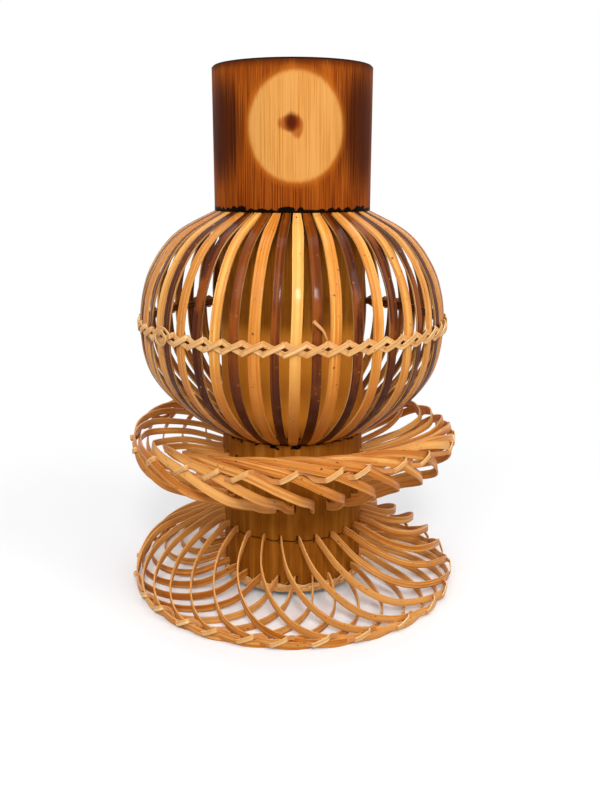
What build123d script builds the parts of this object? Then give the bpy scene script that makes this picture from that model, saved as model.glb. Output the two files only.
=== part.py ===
from build123d import *
from math import acos, atan2, cos, degrees, hypot, radians, sin, tan
import os

# Bamboo vase: a bamboo tube carrying a ribbed globe and two twisted strip cages.
# Millimetres, +Z up, origin on the floor under the middle of the tube.
# The front of the vase, with the golden patch on its neck, looks along -Y.

# Tube
tube_height = 210.0
tube_foot_lift = 3.8
neck_radius = 31.0
neck_length = 52.6
neck_wall = 3.6
core_cut = 1.4
rim_chamfer = 0.6
septum_height = 11.0
septum_thickness = 3.0

# Seats of the strips in the tube's wall
seat_gap = 0.3
slot_depth = 1.5
groove_depth = 1.3

# Globe
globe_radius = 61.4
globe_top_drop = 1.0
globe_foot_height = 67.6
rib_thickness = 1.2
rib_count = 52
light_rib_width = 4.1
dark_rib_width = 3.7
rib_end_gap = 0.35

# Belt round the globe
belt_share = 0.50
hoop_height = 2.8
hoop_thickness = 1.2
lashing_width = 1.7
lashing_thickness = 0.4
lashing_swing = 2.1
lashing_start = -48.5
lashing_end_gap = 0.5

# Middle cage
cage_strip_count = 26
middle_strip_width = 3.2
middle_strip_thickness = 0.8
middle_rim_radius = 67.3
middle_top_slot = 57.6
middle_foot_slot = 40.4
middle_turn = 84.0
middle_start = -7.6

# Base cage
base_strip_width = 3.0
base_strip_thickness = 0.8
base_rim_radius = 68.5
base_top_slot = 26.6
base_foot_slot = 8.8
base_half_turn = 47.0
base_start = 5.0
base_slot_reach = 0.95

# Weavers stitched round the two cage rims, and the binding on the tube's foot
weaver_width = 1.6
weaver_thickness = 0.4
weaver_swing = 1.9
weaver_stitch_turn = 5.0
weaver_end_gap = 0.5
weaver_start = 200.0
middle_weaver_height = 65.0
base_weaver_height = 4.6
binding_height = 2.7
binding_thickness = 0.6
binding_sides = 16

front = -90.0
core_radius = neck_radius - core_cut
bore_radius = neck_radius - neck_wall
neck_bottom = tube_height - neck_length
slot_radius = core_radius - slot_depth
strip_end_radius = slot_radius + seat_gap
cage_pitch = 360 / cage_strip_count
rib_pitch = 360 / rib_count
pair_count = cage_strip_count // 2

# The globe's outline: reach from tube to belt, and rise from the lower seat to the upper one.
# The two equal reaches leave a short upright run, where the belt lies.
globe_outline_share = (
    (0.0, 0.0),
    (0.56, 0.125),
    (0.935, 0.31),
    (1.0, 0.46),
    (1.0, 0.57),
    (0.825, 0.80),
    (0.0, 1.0),
)

# A strip of the middle cage: reach from tube to rim, turn round the tube, height over the foot slot.
middle_path_share = (
    (0.05, 0.0, 1.0),
    (0.42, 0.06, 1.28),
    (0.76, 0.19, 1.57),
    (0.90, 0.33, 1.68),
    (0.985, 0.45, 1.62),
    (1.0, 0.56, 1.45),
    (0.965, 0.67, 1.11),
    (0.88, 0.755, 0.82),
    (0.73, 0.81, 0.63),
    (0.54, 0.85, 0.46),
    (0.32, 0.88, 0.22),
    (0.05, 0.92, 0.0),
)
middle_rim_share = 0.56

# A strip of the base cage: heights down from the top slot to the floor, then up to the foot slot.
base_fall_share = (1.0, 0.70, 0.42, 0.26, 0.18)
base_rise_share = (0.48, 0.0, 0.0, 0.0, 0.10, 0.36, 1.0)


def polar_point(radius, angle, height):
    """A point at a radius, an angle from +X in degrees and a height."""
    return Vector(radius * cos(radians(angle)), radius * sin(radians(angle)), height)


def upright_planes(points):
    """Planes across a route whose sketches stay upright: X across the strip, Y up."""
    planes = []
    last = len(points) - 1
    for index, point in enumerate(points):
        before = points[max(index - 1, 0)]
        after = points[min(index + 1, last)]
        run = Vector(after.X - before.X, after.Y - before.Y, 0).normalized()
        planes.append(Plane(origin=point, x_dir=Vector(-run.Y, run.X, 0), z_dir=run))
    return planes


def upright_strip(points, thickness, width):
    """A flat strip standing on its edge along a route, one straight length after another."""
    ends = []
    for plane in upright_planes(points):
        corners = [(x, y) for x in (-thickness / 2, thickness / 2) for y in (-width / 2, width / 2)]
        ends.append([plane.from_local_coords(corner) for corner in corners])
    with BuildPart() as strip:
        for before, after in zip(ends, ends[1:]):
            ConvexPolyhedron([*before, *after])
    return strip.part


def end_lean(tip, mouth):
    """The angle between a strip's end and the tube's radius at the wall, in degrees."""
    along = degrees(atan2(mouth.Y - tip.Y, mouth.X - tip.X))
    radial = degrees(atan2(mouth.Y, mouth.X))
    return along - radial


def tenon(mouth, following):
    """The hidden end of a strip, carried on level from its mouth into the wall."""
    run = Vector(mouth.X - following.X, mouth.Y - following.Y, 0).normalized()
    inward = Vector(-mouth.X, -mouth.Y, 0).normalized()
    depth = (hypot(mouth.X, mouth.Y) - strip_end_radius) / run.dot(inward)
    return mouth + run * depth


# Route of a middle strip: out of the tube, round the rim while it drops, a hairpin, and back.
middle_reach = middle_rim_radius - core_radius
middle_drop = middle_top_slot - middle_foot_slot
middle_route = []
for reach_share, turn_share, height_share in middle_path_share:
    radius = core_radius + middle_reach * reach_share
    height = middle_foot_slot + middle_drop * height_share
    middle_route.append(polar_point(radius, middle_turn * turn_share, height))
middle_route.insert(0, tenon(middle_route[0], middle_route[1]))
middle_route.append(tenon(middle_route[-1], middle_route[-2]))

# Route of a base strip: in plan one circle that touches the rim and ends at the tube.
half_chord = cos(radians(base_half_turn))
arc_top = base_rim_radius**2 + strip_end_radius**2 - 2 * base_rim_radius * strip_end_radius * half_chord
arc_radius = arc_top / (2 * (base_rim_radius - strip_end_radius * half_chord))
arc_center = base_rim_radius - arc_radius
arc_cosine = (arc_center**2 + arc_radius**2 - strip_end_radius**2) / (2 * arc_center * arc_radius)
arc_half = 180 - degrees(acos(arc_cosine))
floor_height = base_strip_width / 2
base_heights = [floor_height + (base_top_slot - floor_height) * s for s in base_fall_share]
base_heights += [floor_height + (base_foot_slot - floor_height) * s for s in base_rise_share]
base_route = []
for index, height in enumerate(base_heights):
    way_share = 2 * index / (len(base_heights) - 1) - 1
    angle = radians(arc_half * base_slot_reach * way_share)
    x = arc_center + arc_radius * cos(angle)
    y = arc_radius * sin(angle)
    base_route.append(polar_point(hypot(x, y), base_half_turn + degrees(atan2(y, x)), height))
base_route.insert(0, tenon(base_route[0], base_route[1]))
base_route.append(tenon(base_route[-1], base_route[-2]))

# Line of a globe rib in the XZ plane, from its lower seat in the tube to its upper one.
globe_top_height = neck_bottom - globe_top_drop
globe_rise = globe_top_height - globe_foot_height
globe_reach = globe_radius - core_radius
belt_height = globe_foot_height + globe_rise * belt_share
rib_line = []
for reach_share, rise_share in globe_outline_share:
    reach = core_radius + globe_reach * reach_share
    rib_line.append(Vector(reach, globe_foot_height + globe_rise * rise_share))
foot_run = (rib_line[1] - rib_line[0]).normalized()
top_run = (rib_line[-1] - rib_line[-2]).normalized()

# Tube, turned from its section: mouth and septum inside, neck, core and seats of the ribs outside.
groove_radius = core_radius - groove_depth


def beside(point, run, radius, gap):
    """Height at a radius on the line that runs beside the rib, at a gap from the rib's middle."""
    return point.Y + (radius - point.X) * run.Y / run.X + gap / abs(run.X)


rib_clearance = rib_thickness / 2 + seat_gap
foot_hollow = septum_height - septum_thickness
with BuildPart() as bamboo_tube:
    with BuildSketch(Plane.XZ):
        with BuildLine():
            Polyline(
                (0, septum_height),
                (bore_radius, septum_height),
                (bore_radius, tube_height),
                (neck_radius, tube_height),
                (neck_radius, beside(rib_line[-1], top_run, neck_radius, rib_clearance)),
                (core_radius, beside(rib_line[-1], top_run, core_radius, rib_clearance)),
                (core_radius, beside(rib_line[0], foot_run, core_radius, rib_clearance)),
                (groove_radius, beside(rib_line[0], foot_run, groove_radius, rib_clearance)),
                (groove_radius, beside(rib_line[0], foot_run, groove_radius, -rib_clearance)),
                (core_radius, beside(rib_line[0], foot_run, core_radius, -rib_clearance)),
                (core_radius, tube_foot_lift),
                (bore_radius, tube_foot_lift),
                (bore_radius, foot_hollow),
                (0, foot_hollow),
                close=True,
            )
        make_face()
    revolve(axis=Axis.Z)
    top_edges = bamboo_tube.edges().filter_by(GeomType.CIRCLE).group_by(Axis.Z)[-1]
    chamfer(top_edges.sort_by(SortBy.RADIUS)[-1], length=rim_chamfer)
    slot_seats = (
        (middle_route[0], middle_route[1], middle_strip_thickness, middle_strip_width, middle_start),
        (middle_route[-1], middle_route[-2], middle_strip_thickness, middle_strip_width, middle_start),
        (base_route[0], base_route[1], base_strip_thickness, base_strip_width, base_start),
        (base_route[-1], base_route[-2], base_strip_thickness, base_strip_width, base_start),
    )
    for tip, mouth, thickness, width, start in slot_seats:
        mouth_angle = degrees(atan2(mouth.Y, mouth.X))
        mouth_radius = hypot(mouth.X, mouth.Y)
        lean = end_lean(tip, mouth)
        length = (mouth_radius - slot_radius) / cos(radians(lean))
        with Locations(Location((0, 0, mouth.Z))):
            with PolarLocations(mouth_radius, cage_strip_count, front + start + mouth_angle):
                with Locations(Location((0, 0, 0), (0, 0, lean))):
                    Box(
                        length,
                        thickness + 2 * seat_gap,
                        width + 2 * seat_gap,
                        align=(Align.MAX, Align.CENTER, Align.CENTER),
                        mode=Mode.SUBTRACT,
                    )


def rib_end(point, run, mean, face_radius):
    """Middle of a rib's end whose nearest corner keeps the seat gap from the tube."""
    corner = rib_thickness / 2 / mean.dot(run) * mean.Y
    return point + run * ((face_radius + seat_gap + corner - point.X) / run.X)


def crowded_width(radius):
    """The width left for one rib where all of them stand round the tube."""
    return 2 * radius * tan(radians(rib_pitch / 2)) - rib_end_gap


# Each end of a rib is cut parallel to the bend next to it, so that its narrowed sides stay flat.
rib_runs = [(after - before).normalized() for before, after in zip(rib_line, rib_line[1:])]
rib_means = [(before + after).normalized() for before, after in zip(rib_runs, rib_runs[1:])]
rib_means = [rib_means[0], *rib_means, rib_means[-1]]
rib_foot = rib_end(rib_line[0], foot_run, rib_means[0], groove_radius)
rib_top = rib_end(rib_line[-1], top_run, rib_means[-1], core_radius)
rib_middles = [rib_foot, *rib_line[1:-1], rib_top]
outer_edge = []
inner_edge = []
for middle, mean, run in zip(rib_middles, rib_means, [*rib_runs, rib_runs[-1]]):
    face = Vector(mean.Y, -mean.X) * (rib_thickness / 2 / mean.dot(run))
    outer_edge.append(middle + face)
    inner_edge.append(middle - face)


def globe_rib(full_width):
    """A bowed rib: full width round the globe, and narrowed towards both ends."""
    with BuildPart() as rib:
        with BuildSketch(Plane.XZ):
            with BuildLine():
                Polyline(*outer_edge, *reversed(inner_edge), close=True)
            make_face()
        extrude(amount=full_width / 2, both=True)
        rib_ends = ((rib_foot, rib_line[1], rib_means[0]), (rib_top, rib_line[-2], rib_means[-1]))
        for tip, bend, mean in rib_ends:
            narrowing = (full_width - crowded_width(tip.X)) / 2
            for side in (1, -1):
                along = Vector(tip.X - bend.X, -side * narrowing, tip.Y - bend.Y)
                across = Vector(mean.Y, 0, -mean.X)
                outward = along.cross(across)
                if outward.Y * side < 0:
                    outward = outward * -1
                cut = Plane(origin=(bend.X, side * full_width / 2, bend.Y), z_dir=outward)
                split(bisect_by=cut, keep=Keep.BOTTOM)
    return rib.part


def zigzag_strip(radius, height, turns, swings, start, thickness, width, end_gap):
    """A strip laced round a ring: it swings up and down from one named turn to the next."""
    points = []
    for turn, swing in zip(turns, swings):
        points.append(polar_point(radius, start + turn, height + swing))
    back = points[-2] - points[-1]
    points[-1] = points[-1] + back.normalized() * end_gap
    return upright_strip(points, thickness, width)


def export_piece(piece, name):
    """Label one finished piece and write it."""
    piece.part.label = name
    export_step(piece.part, f"parts/{name}.step")


def export_pairs(one, name, start, step):
    """Copy one strip round the tube and write the copies as pairs, each with its opposite."""
    for pair in range(pair_count):
        turn = front + start + pair * step
        with BuildPart() as opposites:
            add(one, rotation=(0, 0, turn))
            add(one, rotation=(0, 0, turn + 180))
        export_piece(opposites, f"{name}_{pair + 1:02d}")


light_rib = globe_rib(light_rib_width)
dark_rib = globe_rib(dark_rib_width)
middle_strip = upright_strip(middle_route, middle_strip_thickness, middle_strip_width)
base_strip = upright_strip(base_route, base_strip_thickness, base_strip_width)

# Belt: a hoop inside the ribs and two strips laced over them, which cross on every rib.
hoop_radius = globe_radius - rib_thickness / 2 - seat_gap
with BuildPart() as belt_hoop:
    with BuildSketch(Plane.XY.offset(belt_height - hoop_height / 2)):
        RegularPolygon(hoop_radius, cage_strip_count, rotation=front)
        RegularPolygon(hoop_radius - hoop_thickness, cage_strip_count, rotation=front, mode=Mode.SUBTRACT)
    extrude(amount=hoop_height)

lashing_turns = [rib_pitch * (step + 1 / 2) for step in range(rib_count + 1)]
lashing_swings = [lashing_swing * (-1) ** step for step in range(rib_count + 1)]
lashing_first = front + rib_pitch * round(lashing_start / rib_pitch)
inner_lashing_face = globe_radius + rib_thickness / 2 + seat_gap
inner_lashing_radius = (inner_lashing_face + lashing_thickness / 2) / cos(radians(rib_pitch / 2))
outer_lashing_radius = inner_lashing_radius + lashing_thickness + seat_gap
with BuildPart() as belt_lashing_inner:
    add(
        zigzag_strip(
            inner_lashing_radius,
            belt_height,
            lashing_turns,
            lashing_swings,
            lashing_first,
            lashing_thickness,
            lashing_width,
            lashing_end_gap,
        )
    )
with BuildPart() as belt_lashing_outer:
    add(
        zigzag_strip(
            outer_lashing_radius,
            belt_height,
            lashing_turns,
            [-swing for swing in lashing_swings],
            lashing_first,
            lashing_thickness,
            lashing_width,
            lashing_end_gap,
        )
    )

# Rim weavers: each rises across a strip in a short stitch and falls back on the way to the next.
weaver_turns = []
weaver_swings = []
for step in range(cage_strip_count):
    weaver_turns += [cage_pitch * step - weaver_stitch_turn / 2, cage_pitch * step + weaver_stitch_turn / 2]
    weaver_swings += [-weaver_swing, weaver_swing]
weaver_turns.append(360 - weaver_stitch_turn / 2)
weaver_swings.append(-weaver_swing)
fall_half = radians((cage_pitch - weaver_stitch_turn) / 2)
weaver_seat = seat_gap + weaver_thickness / 2
middle_weaver_radius = (middle_rim_radius + middle_strip_thickness / 2 + weaver_seat) / cos(fall_half)
base_weaver_radius = (base_rim_radius + base_strip_thickness / 2 + weaver_seat) / cos(fall_half)
weaver_skip = cage_pitch * round(weaver_start / cage_pitch)
with BuildPart() as middle_rim_weaver:
    add(
        zigzag_strip(
            middle_weaver_radius,
            middle_weaver_height,
            weaver_turns,
            weaver_swings,
            front + middle_start + middle_turn * middle_rim_share + weaver_skip,
            weaver_thickness,
            weaver_width,
            weaver_end_gap,
        )
    )
with BuildPart() as base_rim_weaver:
    add(
        zigzag_strip(
            base_weaver_radius,
            base_weaver_height,
            weaver_turns,
            weaver_swings,
            front + base_start + base_half_turn - cage_pitch / 2 + weaver_skip,
            weaver_thickness,
            weaver_width,
            weaver_end_gap,
        )
    )

# Binding wound round the tube's foot, below the ends of the base strips.
binding_radius = core_radius + seat_gap
with BuildPart() as foot_binding:
    with BuildSketch(Plane.XY.offset(tube_foot_lift)):
        RegularPolygon(binding_radius + binding_thickness, binding_sides, major_radius=False)
        RegularPolygon(binding_radius, binding_sides, major_radius=False, mode=Mode.SUBTRACT)
    extrude(amount=binding_height)

os.makedirs("parts", exist_ok=True)
export_piece(bamboo_tube, "bamboo_tube")
export_pairs(light_rib, "light_rib_pair", 0, cage_pitch)
export_pairs(dark_rib, "dark_rib_pair", rib_pitch, cage_pitch)
export_piece(belt_hoop, "belt_hoop")
export_piece(belt_lashing_inner, "belt_lashing_inner")
export_piece(belt_lashing_outer, "belt_lashing_outer")
export_pairs(middle_strip, "middle_strip_pair", middle_start, cage_pitch)
export_piece(middle_rim_weaver, "middle_rim_weaver")
export_pairs(base_strip, "base_strip_pair", base_start, cage_pitch)
export_piece(base_rim_weaver, "base_rim_weaver")
export_piece(foot_binding, "foot_binding")

ring_radius = base_weaver_radius + weaver_thickness / 2
print(f"tube {tube_height:g} mm tall, base ring {2 * ring_radius:.1f} mm wide")
print(f"base strip arc radius {arc_radius:.1f} mm, {len(base_route)} stations")
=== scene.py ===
# %% [markdown]
# # A bamboo vase with a ribbed globe and two twisted cages
#
# The vase is one bamboo tube dressed with split strips. Its pieces come from a CAD model at
# their real size, and this lesson gives them the look of real bamboo. The frame is loaded
# first, so that every measure below can be taken from it.

# %% Load the frame
from math import atan2, cos, degrees, pi, radians, sin, tau

import bpy
import numpy as np
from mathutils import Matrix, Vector


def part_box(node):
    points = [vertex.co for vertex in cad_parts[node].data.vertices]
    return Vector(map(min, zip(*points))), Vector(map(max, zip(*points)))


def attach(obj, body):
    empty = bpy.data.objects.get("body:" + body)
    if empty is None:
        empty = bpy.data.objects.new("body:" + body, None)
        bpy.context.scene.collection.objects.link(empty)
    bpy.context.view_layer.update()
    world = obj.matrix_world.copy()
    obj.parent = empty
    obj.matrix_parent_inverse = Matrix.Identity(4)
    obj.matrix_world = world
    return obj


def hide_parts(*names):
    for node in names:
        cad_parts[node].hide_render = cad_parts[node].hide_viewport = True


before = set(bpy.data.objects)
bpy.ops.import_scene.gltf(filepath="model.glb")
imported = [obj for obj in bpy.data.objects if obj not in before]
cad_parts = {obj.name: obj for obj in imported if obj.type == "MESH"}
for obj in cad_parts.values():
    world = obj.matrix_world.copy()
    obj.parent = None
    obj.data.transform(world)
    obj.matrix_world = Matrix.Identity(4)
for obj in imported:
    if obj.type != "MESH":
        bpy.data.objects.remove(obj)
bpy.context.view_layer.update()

# %% [markdown]
# ## Measures
#
# The solids tell how wide the tube is and where the belt lies. Other sizes, such as the reach
# of the globe and of the two rims, are the CAD model's own and are written in millimetres.
# Everything that follows is worked out from these few, so the dressed pieces stay where the
# plain solids are.

# %% Read the sizes of the solids
MM = 0.001


def top_of(node):
    """Highest corner of a node's box."""
    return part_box(node)[1]


def foot_of(node):
    """Lowest corner of a node's box."""
    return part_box(node)[0]


tube_top = top_of("bamboo_tube")[2]
tube_foot = foot_of("bamboo_tube")[2]
neck_radius = top_of("bamboo_tube")[0]
belt_height = (top_of("belt_hoop")[2] + foot_of("belt_hoop")[2]) / 2
hoop_radius = top_of("belt_hoop")[1]
print("tube", round(tube_top, 4), "neck", round(neck_radius, 4), "belt at", round(belt_height, 4))

# %% Write the other sizes
core_cut = 1.4 * MM
neck_length = 52.6 * MM
globe_drop = 1.0 * MM
core_radius = neck_radius - core_cut
neck_bottom = tube_top - neck_length
globe_radius = 61.4 * MM
globe_foot = 67.6 * MM
globe_top = neck_bottom - globe_drop
middle_rim_radius = 67.3 * MM
base_rim_radius = 68.5 * MM
strip_count = 26
pair_count = strip_count // 2
rib_count = 2 * strip_count
cage_pitch = tau / strip_count
rib_pitch = cage_pitch / 2
front = -pi / 2
print("globe from", round(globe_foot, 4), "to", round(globe_top, 4), "with", rib_count, "ribs")

# %% [markdown]
# ## Colours as the eye names them
#
# A colour listed here is written in display values, while Blender's sockets want linear
# light. One small helper does the change, so that the palette below can be read like paint
# chips: golden bamboo, cage strips, cut sides, red-brown dye, pale cane.

# %% Palette


def paint(red, green, blue):
    """A display colour, 0 to 255, as the linear colour that a shader wants."""
    linear = []
    for value in (red, green, blue):
        share = value / 255
        linear.append(share / 12.92 if share <= 0.04045 else ((share + 0.055) / 1.055) ** 2.4)
    return (*linear, 1.0)


GOLD = paint(226, 150, 60)
GOLD_PALE = paint(243, 186, 100)
GOLD_DEEP = paint(192, 108, 28)
# Deeper gold for the painted shade of the light ribs below the belt.
GOLD_IN_SHADE = paint(192, 110, 28)
STRIP = paint(210, 132, 50)
STRIP_PALE = paint(238, 176, 98)
STRIP_DEEP = paint(170, 92, 22)
CUT_PALE = paint(232, 180, 112)
CUT_BROWN = paint(158, 100, 44)
RED_BROWN = paint(90, 39, 7)
RED_BROWN_LIT = paint(142, 70, 14)
RED_BLACK = paint(56, 15, 3)
CANE = paint(232, 184, 114)
CANE_PALE = paint(250, 222, 166)
CANE_DEEP = paint(204, 134, 66)
# Inner face of cane, and partly painted shade where the weavers run inside.
CANE_BACK_AND_SHADE = paint(196, 118, 54)
print("gold in linear light", [round(share, 3) for share in GOLD[:3]])

# %% [markdown]
# ## A node tree in a few words
#
# Every finish below is a small tree of shader nodes. Short helpers keep them readable: add a
# node and fill its sockets, mix two colours, spread a number over a range. Bamboo's grain runs
# along the strip, so each strip carries a map: its first number is the way along in metres,
# and its second is the way round the section. Grain drawn in that map follows every bend.

# %% Node helpers


class Tree:
    """A material's node tree, with short calls to add and join nodes."""

    def __init__(self, name):
        self.material = bpy.data.materials.new(name)
        self.material.use_nodes = True
        self.nodes = self.material.node_tree.nodes
        self.links = self.material.node_tree.links
        self.nodes.clear()
        self.shader = self.add("ShaderNodeBsdfPrincipled")
        self.output = self.add("ShaderNodeOutputMaterial")
        self.links.new(self.shader.outputs[0], self.output.inputs[0])

    def add(self, kind, sockets=None, **settings):
        """Add a node, set its options, and fill or join its sockets."""
        node = self.nodes.new(kind)
        for key, value in settings.items():
            setattr(node, key, value)
        for key, value in (sockets or {}).items():
            if isinstance(value, bpy.types.NodeSocket):
                self.links.new(value, node.inputs[key])
            else:
                node.inputs[key].default_value = value
        return node

    def math(self, operation, *terms):
        """One sum, as an output socket."""
        return self.add("ShaderNodeMath", dict(enumerate(terms)), operation=operation).outputs[0]

    def vector(self, operation, *terms):
        """One sum of vectors, as a node."""
        return self.add("ShaderNodeVectorMath", dict(enumerate(terms)), operation=operation)

    def mix(self, factor, first, second):
        """Two colours blended, as an output socket."""
        sockets = {0: factor, 6: first, 7: second}
        return self.add("ShaderNodeMix", sockets, data_type="RGBA").outputs[2]

    def ramp(self, value, low, high, start=0.0, end=1.0):
        """A value spread between two others over a range, with soft ends."""
        sockets = {
            "Value": value, "From Min": low, "From Max": high, "To Min": start, "To Max": end,
        }
        node = self.add("ShaderNodeMapRange", sockets, interpolation_type="SMOOTHSTEP")
        return node.outputs["Result"]

    def within(self, value, low, high):
        """One where a value lies between two limits, and nothing elsewhere."""
        return self.math("COMPARE", value, (low + high) / 2, (high - low) / 2)

    def swing(self, noise, span):
        """A noise value moved so that it swings about nothing."""
        return self.math("MULTIPLY", self.math("SUBTRACT", noise, 0.5), span)

    def apart(self, place):
        """The three numbers of a place."""
        return self.add("ShaderNodeSeparateXYZ", {0: place}).outputs

    def noise(self, x, y, z, detail=3.0, roughness=0.55):
        """A noise value between 0 and 1, at a place given by three numbers or sockets."""
        place = self.add("ShaderNodeCombineXYZ", {0: x, 1: y, 2: z}).outputs[0]
        sockets = {"Vector": place, "Scale": 1.0, "Detail": detail, "Roughness": roughness}
        return self.add("ShaderNodeTexNoise", sockets).outputs["Fac"]

    def attribute(self, name):
        """A number that the mesh carries."""
        return self.add("ShaderNodeAttribute", attribute_name=name).outputs["Fac"]

    def bump(self, height, depth):
        """Relief of a real depth in metres, joined to the shader."""
        node = self.add("ShaderNodeBump", {"Height": height, "Distance": depth})
        self.links.new(node.outputs[0], self.shader.inputs["Normal"])

    def finish(self, colour, roughness, shine, coat=0.0, coat_roughness=0.2):
        """Join colour and roughness, and set the shine and the lacquer."""
        self.links.new(colour, self.shader.inputs["Base Color"])
        self.links.new(roughness, self.shader.inputs["Roughness"])
        self.shader.inputs["Specular IOR Level"].default_value = shine
        self.shader.inputs["Coat Weight"].default_value = coat
        self.shader.inputs["Coat Roughness"].default_value = coat_roughness
        return self.material


print("node helpers ready")

# %% [markdown]
# ## Split bamboo
#
# A strip split from a cane has a smooth skin on one face, two pale cut sides and a duller
# inner face, and long fibres run through all of them. One flat colour would lose that. The
# finish below draws fine streaks along the strip, slow clouds of tone, a few specks and, on
# dyed ribs, lighter patches of painted light. Under the belt the ribs are painted darker, as
# painted shade. The place round the section tells skin from cut. A number called tone
# differs from strip to strip, so that no two are alike, and one called shade turns a strip
# to the dull inner side of cane. On the inside runs of the weavers that paint is partly
# painted shade.

# %% Split bamboo finish
SKIN_END = 5 / 11
SIDE_END = 6 / 11
BACK_END = 10 / 11
fibre_relief = 0.08 * MM
lacquer_blur = 0.13
noise_step = 37.0
# Heights over which the ribs are painted darker below the belt, as painted shade.
low_start, low_end, painted_shade_strength = belt_height - 26 * MM, belt_height + 4 * MM, 0.78


def split_bamboo(
    name, skin, cut, back, rough, shine, lacquer=0.0, patch=None, mark=RED_BLACK, low=None
):
    """A finish for split strips: skin, cut sides and inner face, each with its own grain."""
    pale, middle, deep = skin
    tree = Tree(name)
    place = tree.apart(tree.add("ShaderNodeUVMap", uv_map="grain").outputs[0])
    along, across = place[0], place[1]
    tone = tree.attribute("tone")
    own = tree.math("MULTIPLY", tone, noise_step)

    def grain(per_metre, per_width, detail):
        """Noise drawn out along the strip."""
        run = tree.math("MULTIPLY", along, per_metre)
        side = tree.math("MULTIPLY", across, per_width)
        return tree.noise(run, side, own, detail)

    # Streaks of fibre, broad bands and slow clouds give the skin its three tones.
    fibres, bands, clouds = grain(24.0, 34.0, 4.0), grain(9.0, 8.0, 2.0), grain(75.0, 2.0, 4.0)
    colour = tree.mix(tree.ramp(fibres, 0.36, 0.64), deep, middle)
    colour = tree.mix(tree.ramp(bands, 0.42, 0.72), colour, pale)
    colour = tree.mix(tree.ramp(clouds, 0.38, 0.75, 0.0, 0.5), colour, deep)
    # The strip's own tone makes it paler or deeper as a whole.
    colour = tree.mix(tree.ramp(tone, 0.55, 1.0, 0.0, 0.55), colour, pale)
    colour = tree.mix(tree.ramp(tone, 0.0, 0.45, 0.40, 0.0), colour, deep)
    # Lighter patches of the patch colour are painted light, strewn at random along the strip.
    if patch:
        patches = grain(42.0, 1.5, 3.0)
        colour = tree.mix(tree.ramp(patches, 0.52, 0.66, 0.0, 0.85), colour, patch)
    # Below the belt the paint turns darker: painted shade.
    if low:
        height = tree.apart(tree.add("ShaderNodeTexCoord").outputs["Object"])[2]
        colour = tree.mix(tree.ramp(height, low_start, low_end, painted_shade_strength, 0.0), colour, low)
    specks = grain(560.0, 8.0, 2.0)
    colour = tree.mix(tree.ramp(specks, 0.67, 0.74, 0.0, 0.85), colour, mark)
    # Cut sides and inner face have their own paint, under the same fibres.
    streaked_cut = tree.mix(tree.ramp(fibres, 0.35, 0.65), middle, cut)
    streaked_back = tree.mix(tree.ramp(fibres, 0.30, 0.65), middle, back)
    right_side = tree.within(across, SKIN_END, SIDE_END)
    left_side = tree.within(across, BACK_END, 1.0)
    colour = tree.mix(tree.math("ADD", right_side, left_side), colour, streaked_cut)
    colour = tree.mix(tree.within(across, SIDE_END, BACK_END), colour, streaked_back)
    # Shade turns the paint to inner-face cane, partly painted shade on inside runs.
    colour = tree.mix(tree.attribute("shade"), colour, CANE_BACK_AND_SHADE)
    tree.bump(fibres, fibre_relief)
    roughness = tree.ramp(clouds, 0.3, 0.7, rough, rough + 0.2)
    return tree.finish(colour, roughness, shine, lacquer, lacquer_blur)


print("ribs darken from", round(low_end / MM, 1), "mm down to", round(low_start / MM, 1))

# %% Five kinds of strip
# Below the belt light ribs get deeper gold, dark ribs near black: painted shade.
light_finish = split_bamboo(
    "light_rib_bamboo", (GOLD_PALE, GOLD, GOLD_DEEP), CUT_PALE, CUT_BROWN,
    rough=0.34, shine=0.10, lacquer=0.18, low=GOLD_IN_SHADE,
)
# The dark ribs' lighter patches, in a lit copy of the red-brown, are painted light.
dark_finish = split_bamboo(
    "dark_rib_bamboo", (RED_BROWN_LIT, RED_BROWN, RED_BLACK), CUT_PALE, CUT_BROWN,
    rough=0.32, shine=0.03, lacquer=0.20, patch=RED_BROWN_LIT, mark=CUT_BROWN, low=RED_BLACK,
)
strip_finish = split_bamboo(
    "cage_strip_bamboo", (STRIP_PALE, STRIP, STRIP_DEEP), CUT_PALE, STRIP_PALE,
    rough=0.36, shine=0.15, lacquer=0.12,
)
cane_finish = split_bamboo(
    "pale_cane", (CANE_PALE, CANE, CANE_DEEP), CANE_PALE, CANE_DEEP, rough=0.40, shine=0.30,
)
# Hoop's inner face near black: painted shade on the far side seen through the globe.
hoop_finish = split_bamboo(
    "hoop_bamboo", (CANE_DEEP, CUT_BROWN, RED_BROWN_LIT), CUT_BROWN, RED_BLACK,
    rough=0.45, shine=0.1,
)
print("finishes made: light and dark ribs, cage strips, cane, hoop")

# %% [markdown]
# ## A strip as a mesh
#
# A strip of split bamboo is a long ribbon with a crowned skin face, a flat inner face and
# cut sides. A curve with a bevel could draw it, but then the ribbon would turn by itself in
# tight bends. Here each station of the route states which way the strip's face looks, so the
# ribbon stands on its edge just as it does in the weave. The section's numbers are shares of
# the strip's thickness and width, from one edge of the skin round to the inner face.

# %% Ribbon section and mesh
SECTION = (
    (0.43, -0.50), (0.50, -0.46), (0.53, -0.16), (0.53, 0.16), (0.50, 0.46), (0.43, 0.50),
    (-0.45, 0.50), (-0.50, 0.47), (-0.50, 0.0), (-0.50, -0.47), (-0.45, -0.50),
)
CUT_CORNER = radians(35)


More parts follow.
